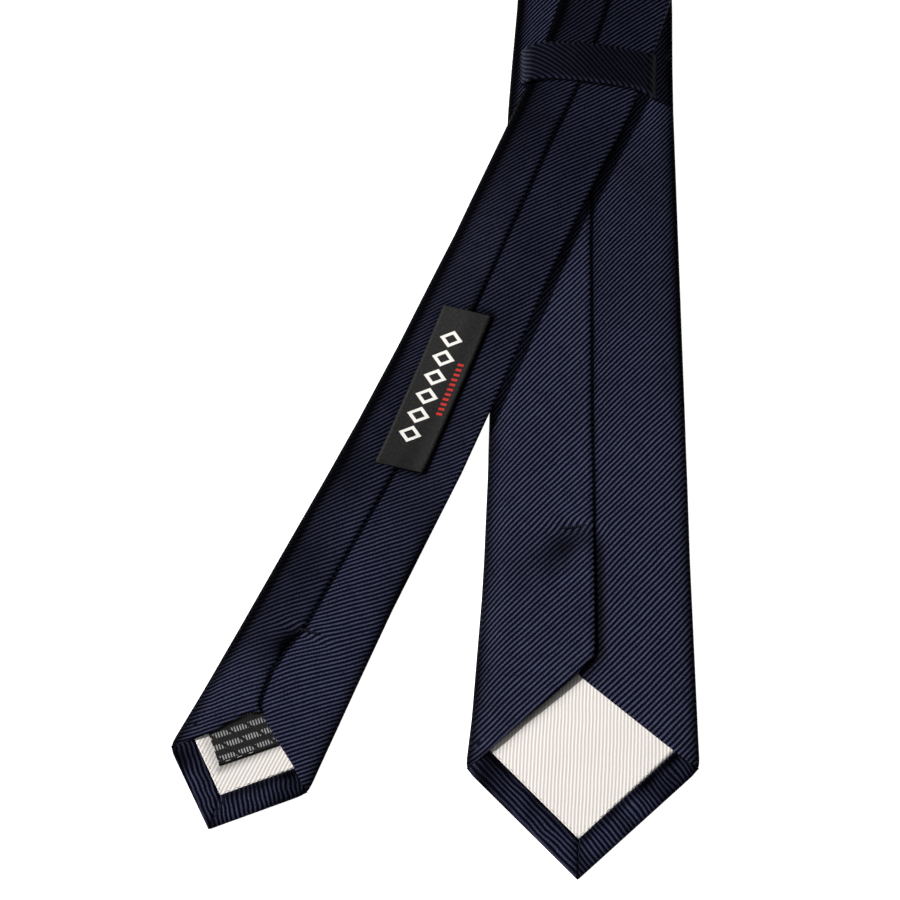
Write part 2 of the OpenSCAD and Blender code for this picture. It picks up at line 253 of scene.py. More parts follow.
def rod_rings(points, radius):
    """Rings of a thread along points, its ends drawn in."""
    points = np.asarray(points, float)
    along = np.gradient(points, axis=0)
    along /= np.linalg.norm(along, axis=1)[:, None]
    side = np.cross(along, [0, 0, 1.0])
    side /= np.maximum(np.linalg.norm(side, axis=1), 1e-9)[:, None]
    up = np.cross(side, along)
    a = np.linspace(0, 2 * math.pi, THREAD_SIDES, endpoint=False)
    r = radius * np.ones(len(points))
    r[0] = r[-1] = radius * 0.45
    return points[:, None] + r[:, None, None] * (
        np.cos(a)[None, :, None] * side[:, None] + np.sin(a)[None, :, None] * up[:, None])


def threads(name, lines, radius):
    """Short threads as one mesh of closed rods."""
    points, faces, start, sides = [], [], 0, THREAD_SIDES
    for line in lines:
        rings = rod_rings(line, radius)
        count = len(rings)
        points.append(rings.reshape(-1, 3))
        for k in range(count - 1):
            for i in range(sides):
                j = (i + 1) % sides
                a, b = start + k * sides, start + (k + 1) * sides
                faces.append((a + i, a + j, b + j, b + i))
        faces.append(tuple(start + i for i in range(sides))[::-1])
        faces.append(tuple(start + (count - 1) * sides + i for i in range(sides)))
        start += count * sides
    mesh = bpy.data.meshes.new(name)
    mesh.from_pydata(row(np.concatenate(points)).tolist(), [], faces)
    return placed(name, mesh)


def rib_marks(across, along, lie):
    """Cloth coordinates whose second axis runs along the ribs. lie gives, for places along
    the piece, the ribs' angle to its run and their relative spacing."""
    places, angles, sizes = lie
    y = np.arange(-80.0, 1000.0)
    a, size = np.radians(np.interp(y, places, angles)), np.interp(y, places, sizes)
    run = np.interp(along, y, np.cumsum(np.sin(a) / size))
    a, size = np.interp(along, y, a), np.interp(along, y, size)
    return np.stack([across * np.cos(a) / size + run, along * np.cos(a) - across * np.sin(a)], -1)


def gap_to(x, y, line):
    """Distance in plan to a line of points."""
    gap = np.full(np.shape(x), 1e9)
    for (x0, y0), (x1, y1) in zip(line[:-1], line[1:]):
        dx, dy = x1 - x0, y1 - y0
        t = np.clip(((x - x0) * dx + (y - y0) * dy) / (dx * dx + dy * dy), 0, 1)
        gap = np.minimum(gap, np.hypot(x - x0 - t * dx, y - y0 - t * dy))
    return gap


# ---- the folded shell
FACE_Z, UNDER_Z, UPPER_Z = 0.22, 2.1, 2.75
ARC = 7
SILK_THICK = 0.4
TURNED_EDGE = 6.0


def arc_between(x, low, high, side):
    """A side fold seen end on, from the face (low) up to the flap (high)."""
    a = np.radians(np.linspace(-90, 90, ARC))
    r = (high - low) / 2
    c, s = np.cos(a), np.sin(a)
    return x[:, None] - side * r[:, None] * (1 - c), (low + high)[:, None] / 2 + r[:, None] * s


def across_length(x, z):
    step = np.hypot(np.diff(x, axis=1), np.diff(z, axis=1))
    return np.concatenate([np.zeros((len(x), 1)), np.cumsum(step, axis=1)], 1)


def shell_section(y, half, edge_left, edge_right, z_left, z_right,
                  lifts=(0.2, 0.0)):
    """Rows of the folded cross-section from the left flap's turned edge, out to the left
    fold, under along the face, round the right fold and in to the right flap's turned edge.
    Returns x, z and the cloth's own across coordinate, 0 at the middle of the face."""
    low = np.full(len(y), FACE_Z)
    sunk = 0.5 * smooth((np.minimum(z_left, z_right) - 1.4) / 0.6)
    fold_left, fold_right = z_left - sunk, z_right - 0.6 * sunk

    def flap(side, edge, high, at_fold, raised):
        start = side * half - side * (at_fold - low) / 2
        t = np.concatenate([np.linspace(0, 0.28, 9), np.linspace(0.28, 1, 15)[1:]])[None, :]
        x = start[:, None] + (edge - start)[:, None] * t
        rise = smooth(np.abs(x - start[:, None]) / 7) ** 0.7
        z = at_fold[:, None] + (high - at_fold)[:, None] * rise
        lift = np.clip(1 - np.abs(x - edge[:, None]) / 12, 0, 1) ** 2
        z = z + raised * lift * smooth(np.abs(edge - start) / 8)[:, None]
        room = np.minimum(TURNED_EDGE, 0.8 * np.abs(edge - start))
        a = np.radians(np.linspace(90, -90, 6))[1:]
        r = 0.26
        top = z[:, -1:]
        fx = edge[:, None] - side * r * np.cos(a)[None, :]
        fz = top - r + r * np.sin(a)[None, :]
        t = np.linspace(0, 1, 4)[None, 1:]
        ux = edge[:, None] + side * room[:, None] * t
        uz = top - 2 * r - 0.02 * t + 0 * ux
        return np.concatenate([x, fx, ux], 1), np.concatenate([z, fz, uz], 1)

    xl, zl = flap(-1, edge_left, z_left, fold_left, lifts[0])
    xr, zr = flap(1, edge_right, z_right, fold_right, lifts[1])
    al, azl = arc_between(-half, low, fold_left, -1)
    ar, azr = arc_between(half, low, fold_right, 1)
    t = np.linspace(0, 1, 21)[None, 1:-1]
    face_x = al[:, :1] + (ar[:, :1] - al[:, :1]) * t
    face_z = FACE_Z + 0 * face_x
    x = np.concatenate([xl[:, ::-1], al[:, ::-1][:, 1:], face_x, ar[:, :-1], xr], 1)
    z = np.concatenate([zl[:, ::-1], azl[:, ::-1][:, 1:], face_z, azr[:, :-1], zr], 1)
    s = across_length(x, z)
    middle = xl.shape[1] + ARC - 1 + face_x.shape[1] // 2
    return x, z, s - s[:, middle:middle + 1]


def hem_corner(slope, hems):
    """Where the inner edges of the two hems meet over the tip."""
    reach = math.hypot(1, slope)
    return (hems[0] - hems[1]) * reach / (2 * slope), (hems[0] + hems[1]) * reach / 2


def point_rows(half, point, hems):
    """The pointed end: the face's V with a hem turned in along both edges.
    Returns x, y, z and cloth coordinates."""
    count, slope = 34, point / half
    normal = np.array([slope, 1]) / math.hypot(1, slope)
    w = np.linspace(0, 1, count)
    corner_x, corner_y = hem_corner(slope, hems)
    y = point * w
    edge = half * w
    fold = 0.62

    def hem(side, depth):
        foot = np.stack([side * edge, y], -1)
        inward = np.array([-side * normal[0], normal[1]])
        mitre = (side * half * corner_y - point * corner_x) / (
            side * normal[0] * corner_y + normal[1] * corner_x)
        limit = np.minimum(depth, np.maximum(w, 0.001) * mitre)
        a = np.radians(np.linspace(-90, 90, ARC))
        q_arc = fold * (1 - np.cos(a))
        q = np.concatenate([np.broadcast_to(q_arc, (count, ARC)),
                            fold + (limit[:, None] - fold) * np.linspace(0, 1, 10)[None, 1:]], 1)
        q = np.minimum(q, np.maximum(limit, 0.01)[:, None])
        z_arc = FACE_Z + fold + fold * np.sin(a)
        inner = np.linspace(0, 1, 10)[None, 1:]
        z_top = (FACE_Z + 2 * fold + 0.12 * np.sin(math.pi * inner)
                 - 0.28 * smooth((inner - 0.86) / 0.14))
        z = np.concatenate([np.broadcast_to(z_arc, (count, ARC)),
                            np.broadcast_to(z_top, (count, 9))], 1)
        x = foot[:, :1] + inward[0] * q
        yy = foot[:, 1:] + inward[1] * q
        # the cloth's own place is mirrored over the edge once it has turned
        turned = -q_arc[0] + fold * (a - a[0]) * 0.6
        out_q = np.concatenate([np.broadcast_to(turned, (count, ARC)), q[:, ARC:]], 1)
        cx = foot[:, :1] - inward[0] * out_q
        cy = foot[:, 1:] - inward[1] * out_q
        return x, yy, z, cx, cy

    lx, ly, lz, lcx, lcy = hem(-1, hems[0])
    rx, ry, rz, rcx, rcy = hem(1, hems[1])
    t = np.linspace(0, 1, 21)[None, 1:-1]
    fx = lx[:, :1] + (rx[:, :1] - lx[:, :1]) * t
    fy = ly[:, :1] + (ry[:, :1] - ly[:, :1]) * t
    fz = FACE_Z + 0 * fx
    x = np.concatenate([lx[:, ::-1], fx, rx], 1)
    yy = np.concatenate([ly[:, ::-1], fy, ry], 1)
    z = np.concatenate([lz[:, ::-1], fz, rz], 1)
    cx = np.concatenate([lcx[:, ::-1], fx, rcx], 1)
    cy = np.concatenate([lcy[:, ::-1], fy, rcy], 1)
    return x, yy, z, cx, cy


# Hems, flap edges and seams, from each tip
BLADE_HEMS, TAIL_HEMS = (8.93, 9.35), (7.3, 9.4)
BLADE_RIBS = ([0, 100, 230], [47.3, 47.3, 47.3], [1.08, 1.0, 0.76])
TAIL_RIBS = ([0, 60, 105, 150, 205], [51.0, 51.0, 46.0, 41.5, 42.5],
             [1.12, 1.1, 1.07, 0.94, 0.94])
NECK_RIBS = ([0, 900], [47.3, 47.3], [0.76, 0.76])
BLADE_OPENING = ((-35, 33.8), (-19.3, 48), (-2.2, 62.7), (2.3, 68.1))
TAIL_OPENING = ((-21.65, 19.95), (-13.6, 28.1), (-5.8, 38.1), (-2.8, 39.1))
BLADE_SEAM = ([68, 108, 191, 300, 560], [2.3, 1.4, -0.3, -0.6, -0.6])
TAIL_SEAM = ([39.1, 40.2, 44, 51.5, 59, 66.5, 140, 235, 550],
             [-2.8, -4.4, -5.4, -6.3, -5.3, -3.2, -0.6, -2.4, -2.0])
BLADE_TACK = (-2.9, 106.5)


def blade_edges(y):
    open_x, open_y = zip(*BLADE_OPENING)
    left = np.where(y < 68.1, np.interp(y, open_y, open_x), np.interp(y, *BLADE_SEAM))
    right = np.interp(y, [33.8, 60.8, 68, 110, 560], [35, -0.5, -7.5, -7.8, -8.5])
    return left, right


def tail_edges(y):
    open_x, open_y = zip(*TAIL_OPENING)
    left = np.where(y < 39.1, np.interp(y, open_y, open_x), np.interp(y, *TAIL_SEAM))
    right = np.interp(y, [19.95, 26.4, 40.3, 46, 550], [21.65, 14.7, -4.2, -9.8, -9.6])
    return left, right


def tail_skew(x, y):
    """The tail's point was cut a little askew."""
    return y + 0.142 * x * (1 - smooth((y - 30) / 45))


def on_tail_end(x, y, z):
    """Tail frame, with the point's askew cut."""
    return on_tail(x, tail_skew(x, y), z)


def tack_dents(x, y, tack, size):
    """Height of the hollow under a bar tack and of the swell of the flap beyond it."""
    dx, dy = (x - tack[0]) / size, (y - tack[1]) / size
    hollow = np.exp(-((dx + 0.3) / 0.5) ** 2 - ((dy + 0.35) / 0.4) ** 2)
    swell = np.exp(-((dx + 0.7) / 0.8) ** 2 - ((dy + 1.5) / 0.8) ** 2)
    pull = np.exp(-(dx / 0.45) ** 2 - (dy / 0.13) ** 2)
    return 0.45 * swell - 0.55 * hollow - 0.4 * pull


LABEL_TURN, LABEL_AT, LABEL_SKEW = math.radians(2.6), (-1.2, TAIL_BELOW - 106.5), 0.19


def label_frame(x, y):
    """A point of the tail in the woven label's own frame."""
    c, s = math.cos(LABEL_TURN), math.sin(LABEL_TURN)
    x, y = x - LABEL_AT[0], y - LABEL_AT[1]
    lx, ly = x * c + y * s, y * c - x * s
    return lx, ly - LABEL_SKEW * lx


def beside_tail(x, y):
    """How far a point of the blade lies to the right of the tail that crosses it."""
    right = unit(TAIL_LEAN + 90)
    gap = (x - KEEPER[0]) * right[0] + (y - KEEPER[1]) * right[1]
    return gap - NECK_W / 2


def end_shell(name, kind, length):
    """The silk of one end of the tie, from its tip to the first sewn seam."""
    wide = kind == "blade"
    half_at, point = (blade_half, BLADE_POINT) if wide else (tail_half, TAIL_POINT)
    edges = blade_edges if wide else tail_edges
    hems = BLADE_HEMS if wide else TAIL_HEMS
    top = 250 if wide else 240
    y = np.concatenate([np.arange(point, top, 1.6), np.arange(top, length, 3.0), [length]])
    half, corner = half_at(y), half_at(point)
    left, right = edges(y)
    rise = smooth((y - point) / 26)
    z_left = 1.46 + (UPPER_Z - 1.46) * np.maximum(rise, 0.6 * smooth((y - point) / 4))
    z_right = 1.46 + (UNDER_Z - 1.46) * np.maximum(rise, 0.7 * smooth((y - point) / 4))
    open_part = 1 - smooth((y - point * 1.8) / 30)
    x, z, s = shell_section(y, half, left, right, z_left + 0.3 * open_part * rise, z_right,
                            (0.4, 0.05))
    yy = y[:, None] + 0 * x
    tack = BLADE_TACK if wide else (-0.4, 66.5)
    lifted = np.clip((z - 1.2) / 1.2, 0, 1)
    keep_end = smooth((length - yy) / 10)
    z = z + lifted * (0.16 * waves(x, yy, 3 + wide, 34)
                      + 0.06 * waves(x, yy, 13 + wide, 9)) * keep_end
    z = z + lifted * tack_dents(x, yy, tack, 13 if wide else 9)
    pinch = 0.35 * np.exp(-((length - yy) / 1.3) ** 2)
    z = THICK / 2 + (z - THICK / 2) * (1 - pinch)
    lie, opening, seam = ((BLADE_RIBS, BLADE_OPENING, BLADE_SEAM) if wide else
                          (TAIL_RIBS, TAIL_OPENING, TAIL_SEAM))
    line = opening + tuple(zip(seam[1][1:], seam[0][1:]))
    bend = 0.5 * waves(s, yy, 23 + wide, 60) * lifted
    from_left, from_right = x + half[:, None], half[:, None] - x
    dip = lifted * (4.0 * np.exp(-from_left / 5) - 1.0 * np.exp(-from_right / 3)
                    + 1.6 * np.exp(-np.abs(x - left[:, None]) / 5) * (s > 0))
    tuck = 1.1 * lifted * np.exp(-((x - tack[0]) / 9) ** 2 - ((yy - tack[1]) / 6) ** 2)
    tuck = tuck * np.sign(tack[1] - yy) * smooth(np.abs(tack[1] - yy) / 2)
    top_side = np.clip((z - 1.3) / 0.5, 0, 1)
    on_left = s <= s[:, :1] * 0.5
    from_seam = gap_to(x, yy, line)
    # painted shade along both side folds; on the tail the right fold's shade fades out above y 90
    right_side = 1.0 if wide else 1 - 0.9 * smooth((yy - 90) / 40)
    dark = (0.75 * np.exp(-(from_left / 2.2) ** 2)
            + 0.75 * right_side * np.exp(-(from_right / 2.4) ** 2))
    dark = (dark + 0.2 * np.exp(-np.minimum(from_left, from_right) / 4)) * np.clip(z / 0.8, 0, 1)
    # painted shadow of the left flap's edge on the right flap, wider and deeper below the tack, and
    # a little painted shade along that edge on the left flap
    below_tack = smooth((110 - yy) / 12)
    reach = 1.2 + 1.2 * below_tack if wide else 0.9 + 0.3 * open_part[:, None]
    deep = 0.97 + 1.6 * below_tack if wide else 0.3 + 0.6 * open_part[:, None]
    dark = dark + (deep * top_side * ~on_left * (x > left[:, None] - 1)
                   * np.exp(-(from_seam / reach) ** 2))
    dark = dark + 0.35 * top_side * on_left * np.exp(-from_seam / 0.8)
    # painted shade in the hollow under the bar tack
    size = 1.0 if wide else 0.7
    past = x - tack[0] + 4 * size
    hollow = np.exp(-(past / (8 * size)) ** 2
                    - ((yy - tack[1] + 6 * size - 0.6 * past) / (6 * size)) ** 2)
    dark = dark + 0.85 * top_side * on_left * hollow * smooth((tack[1] + 0.8 - yy) / 1.2)
    if wide:
        # painted shade: the right flap darker from y 120 up to the keeper, and a dark band along
        # the left fold near the keeper
        dark = dark + (0.22 * top_side * ~on_left
                       * smooth((yy - 120) / 60) * smooth((235 - yy) / 20))
        dark = dark + 0.6 * np.exp(-(from_left / 3.2) ** 2) * smooth((yy - 222) / 18)
        # painted shadow of the crossing tail on the blade, beside the tail's right edge
        beside = beside_tail(x, yy)
        near_keeper = smooth((yy - 150) / 30) * smooth((241 - yy) / 8)
        dark = dark + 0.85 * top_side * near_keeper * np.exp(-(beside / 3.0) ** 2) * (beside > -3)
    else:
        # painted shade: the tail darker from y 70 up and on its left flap, and along its left fold
        dark = dark + 0.4 * top_side * np.maximum(smooth((yy - 70) / 50),
                                                  0.9 * on_left * smooth((yy - 38) / 20))
        dark = dark + 0.3 * top_side * np.exp(-from_left / 7) * smooth((yy - 45) / 30)
        # painted highlight: the tail's right fold is lightened from y 100 up
        dark = dark - 0.3 * top_side * np.exp(-(from_right / 4) ** 2) * smooth((yy - 100) / 40)
        # painted shadow of the woven label on the tail, strongest on its right side
        lx, ly = label_frame(x, yy)
        beyond = np.hypot(np.maximum(np.abs(lx) - 7.4, 0), np.maximum(np.abs(ly) - 25.5, 0))
        dark = dark + 0.6 * top_side * np.exp(-(beyond / 1.5) ** 2) * (0.35 + 0.65 * (lx > 0))
    # soft random darker and lighter patches, added to the painted shade
    dark = dark + 0.14 * lifted * waves(x, yy, 71 + wide, 30)
    body = (x, yy, z, rib_marks(s + bend, yy + dip + tuck, lie), dark)
    px, py, pz, cx, cy = point_rows(corner, point, hems)
    on_hem = np.clip((pz - 1) / 0.5, 0, 1)
    pz = pz + (0.07 * waves(px, py, 31 + wide, 4.5)
               + 0.06 * waves(px, py, 33 + wide, 12)) * on_hem
    cy = cy + 0.5 * waves(cx, cy, 35 + wide, 8) * on_hem
    lean = (hems[0] - hems[1]) / (hems[0] + hems[1]) * corner / point
    edge_gap = (py - np.abs(px) * point / corner) * corner / math.hypot(corner, point)
    # painted shade on the hems: dark along the outer fold, along the mitre, towards the inner edge
    # and towards the sides
    dark = on_hem * (0.8 * np.exp(-edge_gap / 0.7) + 0.75 * np.exp(-np.abs(px - lean * py) / 0.35)
                     + 0.6 * smooth((edge_gap - 5.5) / 3)
                     + 0.4 * smooth((np.abs(px) / corner - 0.45) / 0.4))
    # the hems darkened further by painted shade that varies softly
    uneven = 0.3 + 0.25 * waves(px, py, 37 + wide, 12)
    marks = rib_marks(cx, cy, lie)
    marks[..., 0] *= np.where((on_hem > 0) & (px > 0), 1.02, 1.0)
    tip = (px, py, pz, marks, dark + uneven * on_hem)
    lay, patches = on_blade if wide else on_tail_end, []
    for px, py, pz, marks, dark in (body, tip):
        near = np.exp(-((py - point) / 1.3) ** 2) * smooth((np.abs(px) / corner - 0.85) / 0.15)
        patches.append((lay(px - 0.5 * np.sign(px) * near, py, pz), marks, dark))
    return thicken(cloth(name, patches), SILK_THICK)


def neck_shell():
    """The narrow section between the two sewn seams, standing on its edge round the loop."""
    u = np.arange(FRONT_SEAM, BACK_SEAM + 0.1, 3.0)
    u[-1] = BACK_SEAM
    half = half_width(u)
    share = smooth((u - 640) / 180)
    left = np.interp(u, [560, 660, 745, 830, 930], [-0.6, 0.2, -0.8, 7.0, 9.6])
    right = np.interp(u, [560, 660, 745, 830, 930], [-8.5, -6.0, 0.8, 1.2, 2.0])
    z_left = UPPER_Z + (UNDER_Z - UPPER_Z) * share
    z_right = UNDER_Z + (UPPER_Z - UNDER_Z) * share
    x, z, s = shell_section(u, half, left, right, z_left, z_right)
    uu = u[:, None] + 0 * x
    ends = np.exp(-((uu - FRONT_SEAM) / 1.3) ** 2) + np.exp(-((BACK_SEAM - uu) / 1.3) ** 2)
    z = z + 0.1 * waves(x, uu, 5, 30) * np.clip((z - 1.2) / 1.2, 0, 1) * (1 - ends)
    z = THICK / 2 + (z - THICK / 2) * (1 - 0.35 * ends)
    lay = band(uu, -x, z)
    # painted shade, deepening towards the back seam to meet the tail's darker silk
    dark = 0.11 + 0.29 * share[:, None] + 0 * x
    return thicken(cloth("neck_silk", [(lay, rib_marks(s, uu, NECK_RIBS), dark)]),
                   SILK_THICK)


def strip(name, u, inset, low, high, lay="flat", pointed=None):
    """The wool interlining: one flat strip inside the shell."""
    t = np.linspace(-1, 1, 9)[None, :]
    half = half_width(u)
    if pointed is not None:
        half_w, point = pointed
        from_tip = u if lay == "flat" else TIE - u
        half = np.where(from_tip < point, half_w * from_tip / point, half)
    v = (half - inset)[:, None] * t
    mid = (low + high) / 2
    place = band(u[:, None] + 0 * v, v, mid, lay)
    marks = np.stack([v, u[:, None] + 0 * v], -1)
    return thicken(cloth(name, [(place, marks)]), high - low)


# ---- materials
def node_tree(name):
    mat = bpy.data.materials.new(name)
    mat.use_nodes = True
    tree = mat.node_tree
    return mat, tree, tree.nodes["Principled BSDF"]


def add(tree, kind, **values):
    node = tree.nodes.new(kind)
    for key, value in values.items():
        if key.startswith("in_"):
            node.inputs[key[3:].replace("_", " ")].default_value = value
        else:
            setattr(node, key, value)
    return node


def maths(tree, operation, a, b=None, c=None):
    node = tree.nodes.new("ShaderNodeMath")
    node.operation = operation
    for i, value in enumerate((a, b, c)):
        if value is None:
            continue
        if isinstance(value, (int, float)):
            node.inputs[i].default_value = value
        else:
            tree.links.new(value, node.inputs[i])
    return node.outputs[0]


def mix_colour(tree, share, a, b):
    node = tree.nodes.new("ShaderNodeMix")
    node.data_type = "RGBA"
    for socket, value in ((node.inputs[0], share), (node.inputs[6], a), (node.inputs[7], b)):
        if isinstance(value, (int, float, tuple)):
            socket.default_value = value
        else:
            tree.links.new(value, socket)
    return node.outputs[2]


def linear(r, g, b):
    """sRGB from 0 to 255 to the shader's linear colour."""
    def one(c):
        c = c / 255
        return c / 12.92 if c <= 0.04045 else ((c + 0.055) / 1.055) ** 2.4
    return (one(r), one(g), one(b), 1.0)


def cloth_axes(tree):
    """The cloth coordinates, whole and as across and along."""
    uv = add(tree, "ShaderNodeUVMap", uv_map="cloth")
    split = add(tree, "ShaderNodeSeparateXYZ")
    tree.links.new(uv.outputs[0], split.inputs[0])
    return uv.outputs[0], split.outputs[0], split.outputs[1]


def noise_at(tree, place, scale, detail):
    node = add(tree, "ShaderNodeTexNoise", in_Scale=scale, in_Detail=detail)
    tree.links.new(place, node.inputs["Vector"])
    return node.outputs[0]


def clamped(tree, value):
    return maths(tree, "MINIMUM", maths(tree, "MAXIMUM", value, 0.0), 1.0)


def finish_shader(tree, shader, colour, height, strength, distance, roughness, shine):
    """Links the colour and the bump, and sets the surface."""
    tree.links.new(colour, shader.inputs["Base Color"])
    bump = add(tree, "ShaderNodeBump", in_Strength=strength, in_Distance=distance)
    tree.links.new(height, bump.inputs["Height"])
    tree.links.new(bump.outputs[0], shader.inputs["Normal"])
    shader.inputs["Roughness"].default_value = roughness
    shader.inputs["Specular IOR Level"].default_value = shine


def ribbed(name, top, groove, pitch, roughness, depth, shine, uneven, crisp=2.0):
    """Repp cloth: round ribs along the second cloth coordinate, fine threads over them."""
    mat, tree, shader = node_tree(name)
    uv, across, _ = cloth_axes(tree)
    slow = noise_at(tree, uv, 90.0, 1.0)
    wander = maths(tree, "MULTIPLY", maths(tree, "SUBTRACT", slow, 0.5), 0.5)
    turns = maths(tree, "ADD", maths(tree, "DIVIDE", across, pitch / 1000), wander)
    wave = maths(tree, "COSINE", maths(tree, "MULTIPLY", turns, 2 * math.pi))
    rib = maths(tree, "MULTIPLY_ADD", wave, 0.5, 0.5)
    body = maths(tree, "POWER", rib, crisp)
    fine_place = add(tree, "ShaderNodeMapping", in_Scale=(2200.0, 3400.0, 1.0))
    tree.links.new(uv, fine_place.inputs[0])
    fine = noise_at(tree, fine_place.outputs[0], 1.0, 2.0)
    blotch = noise_at(tree, uv, 260.0, 3.0)
    vary = maths(tree, "MULTIPLY_ADD", maths(tree, "SUBTRACT", blotch, 0.5), uneven / 4, 1.0)
    vary = maths(tree, "MULTIPLY_ADD", maths(tree, "SUBTRACT", fine, 0.5), uneven, vary)
    share = clamped(tree, maths(tree, "MULTIPLY", body, vary))
    shade = add(tree, "ShaderNodeAttribute", attribute_name="shade")
    lit = maths(tree, "SUBTRACT", 1.0, shade.outputs["Fac"])
    # painted shade between the ribs: the grooves are coloured far darker than the tops
    colour = mix_colour(tree, share, groove, top)
    # painted shade: where the shade attribute is high, the colour goes towards near black
    colour = mix_colour(tree, lit, (0.0004, 0.0004, 0.0015, 1.0), colour)
    height = maths(tree, "MULTIPLY_ADD", fine, 0.12, rib)
    finish_shader(tree, shader, colour, height, 1.0, depth / 1000, roughness, shine)
    return mat


def plain_cloth(name, colour, dark, scale, roughness, depth):
    """Wool: fine mottled threads."""
    mat, tree, shader = node_tree(name)
    uv = add(tree, "ShaderNodeUVMap", uv_map="cloth")
    grain = noise_at(tree, uv.outputs[0], scale, 3.0)
    finish_shader(tree, shader, mix_colour(tree, grain, dark, colour), grain, 0.6, depth / 1000,
                  roughness, 0.2)
    return mat


def thread_look(name, colour, dark):
    """Twisted sewing thread."""
    mat, tree, shader = node_tree(name)
    place = add(tree, "ShaderNodeTexCoord")
    grain = noise_at(tree, place.outputs["Object"], 2600.0, 2.0)
    finish_shader(tree, shader, mix_colour(tree, grain, dark, colour), grain, 0.5, 0.00008,
                  0.6, 0.2)
    return mat


silk = ribbed("navy_silk_look", linear(77, 79, 104), linear(3, 4, 24), 1.34, 0.5, 0.3, 0.025, 4.0)
# painted shade: the tail's and the keeper's silk are darker copies of the same navy silk, for how
# the light falls on their ribs
shaded_tail_silk = ribbed("tail_silk_look", linear(74, 76, 101), linear(2, 3, 20), 1.17, 0.5, 0.3,
                    0.025, 4.0)
keeper_silk = ribbed("keeper_silk_look", linear(62, 64, 84), linear(6, 7, 22), 1.25, 0.55, 0.26,
                     0.035, 3.0)
tipping_cloth = ribbed("cream_tipping_look", linear(252, 247, 241), linear(216, 209, 203), 1.07,
                       0.55, 0.08, 0.15, 0.1, 1.0)
wool = plain_cloth("wool_look", linear(226, 219, 200), linear(188, 180, 160), 900.0, 0.9, 0.1)
navy_thread = thread_look("navy_thread_look", linear(34, 34, 52), linear(10, 10, 22))
cream_thread = thread_look("cream_thread_look", linear(225, 219, 210), linear(170, 163, 153))
black_thread = thread_look("black_thread_look", linear(40, 36, 35), linear(14, 12, 12))


def finish_look(thing, mat, slot_name, *nodes):
    thing.data.materials.append(mat)
    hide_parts(*nodes)
    return thing


# ---- build the cloth
blade_silk = finish_look(end_shell("front_silk", "blade", FRONT_SEAM), silk, "navy_silk",
                         "front_blade_shell", "blade_end_shell")
tail_silk = finish_look(end_shell("tail_silk", "tail", TIE - BACK_SEAM), shaded_tail_silk,
                        "navy_silk", "tail_shell", "tail_end_shell")
neck_silk = finish_look(neck_shell(), silk, "navy_silk", "neck_shell")

front_u = np.concatenate([np.linspace(2.2, BLADE_POINT, 12), np.arange(38, 558, 5), [559.0]])
front_wool = finish_look(
    strip("front_wool", front_u, 1.5, 0.5, 1.2, "flat", (BLADE_W / 2, BLADE_POINT)),
    wool, "wool_interlining", "front_interlining", "blade_end_interlining")
neck_wool = finish_look(strip("neck_wool", np.linspace(560.5, 929.5, 75), 1.5, 0.5, 1.3),
                        wool, "wool_interlining", "neck_interlining")
back_u = np.concatenate([[931.0], np.arange(935, TIE - 24, 5),
                         np.linspace(TIE - TAIL_POINT - 3, TIE - 3, 10)])
tail_wool = finish_look(
    strip("tail_wool", back_u, 1.5, 0.5, 1.2, "tail", (TAIL_W / 2, TAIL_POINT + 2)),
    wool, "wool_interlining", "tail_interlining", "tail_end_interlining")


CARE_TURN, CARE_CORNER = math.radians(46), (-5.6, 18.6)


def care_place(x, y):
    """A point of the care label, from its visible corner, in the tail's frame."""
    c, s = math.cos(CARE_TURN), math.sin(CARE_TURN)
    return CARE_CORNER[0] + y * c - x * s, CARE_CORNER[1] + y * s + x * c


def front_shade(x, y):
    """Painted shadow on the blade's tipping close to the flap that overhangs it."""
    near = np.exp(-(gap_to(x, y, BLADE_OPENING) / 2.3) ** 2)
    return 0.92 * near * (0.5 + 0.5 * smooth((y - 38) / 12))


def tail_shade(x, y):
    """Painted shade on the tail's tipping, with a painted shadow close to the care label."""
    c, s = math.cos(CARE_TURN), math.sin(CARE_TURN)
    u, v = x - CARE_CORNER[0], y - CARE_CORNER[1]
    past_side, past_end = u * s - v * c, -u * c - v * s
    gap = np.hypot(np.maximum(past_side, 0), np.maximum(past_end, 0))
    return 0.1 + 0.55 * np.exp(-(gap / 1.7) ** 2) * np.where(past_side > past_end, 1.0, 0.5)


def tipping(name, half_at, point, hems, top, place, shade):
    """The cream sheet in a pointed end: its V lies under the hems, its top under the flaps."""
    half = half_at(point)
    slope, side_gap = point / half, 1.6
    corner_x, corner = hem_corner(slope, hems)
    corner = corner - 0.3 * math.hypot(1, slope)
    knee = corner + (half - side_gap + abs(corner_x)) * slope
    y = np.concatenate([np.linspace(corner, knee, 24), np.arange(knee + 2, top, 2.0), [top]])
    side_room = half_at(y) - side_gap
    left = np.maximum(-side_room, corner_x - np.maximum((y - corner) / slope, 0.02))
    right = np.minimum(side_room, corner_x + np.maximum((y - corner) / slope, 0.02))
    t = np.linspace(0, 1, 31)[None, :]
    x = left[:, None] + (right - left)[:, None] * t
    yy = y[:, None] + 0 * x
    under = smooth((yy - knee) / 10)
    z = 1.42 + 0.06 * waves(x, yy, 41, 16) * (1 - under) - 0.02 * under
    marks = np.stack([x, yy], -1)
    # shade(x, yy) gives the tipping's painted shade and painted shadow
    return thicken(cloth(name, [(place(x, yy, z), marks, shade(x, yy))]), 0.22)


front_tipping = finish_look(
    tipping("front_tipping_cloth", blade_half, BLADE_POINT, BLADE_HEMS, 119, on_blade, front_shade),
    tipping_cloth, "cream_tipping", "front_tipping")
tail_tipping = finish_look(
    tipping("tail_tipping_cloth", tail_half, TAIL_POINT, TAIL_HEMS, 84, on_tail_end, tail_shade),
    tipping_cloth, "cream_tipping", "tail_tipping")


# ---- keeper, labels, stitches
def spring(share):
    """A quarter-round rise from 0 to 1."""
    return np.sqrt(np.clip(1 - (1 - np.clip(share, 0, 1)) ** 2, 0, 1))


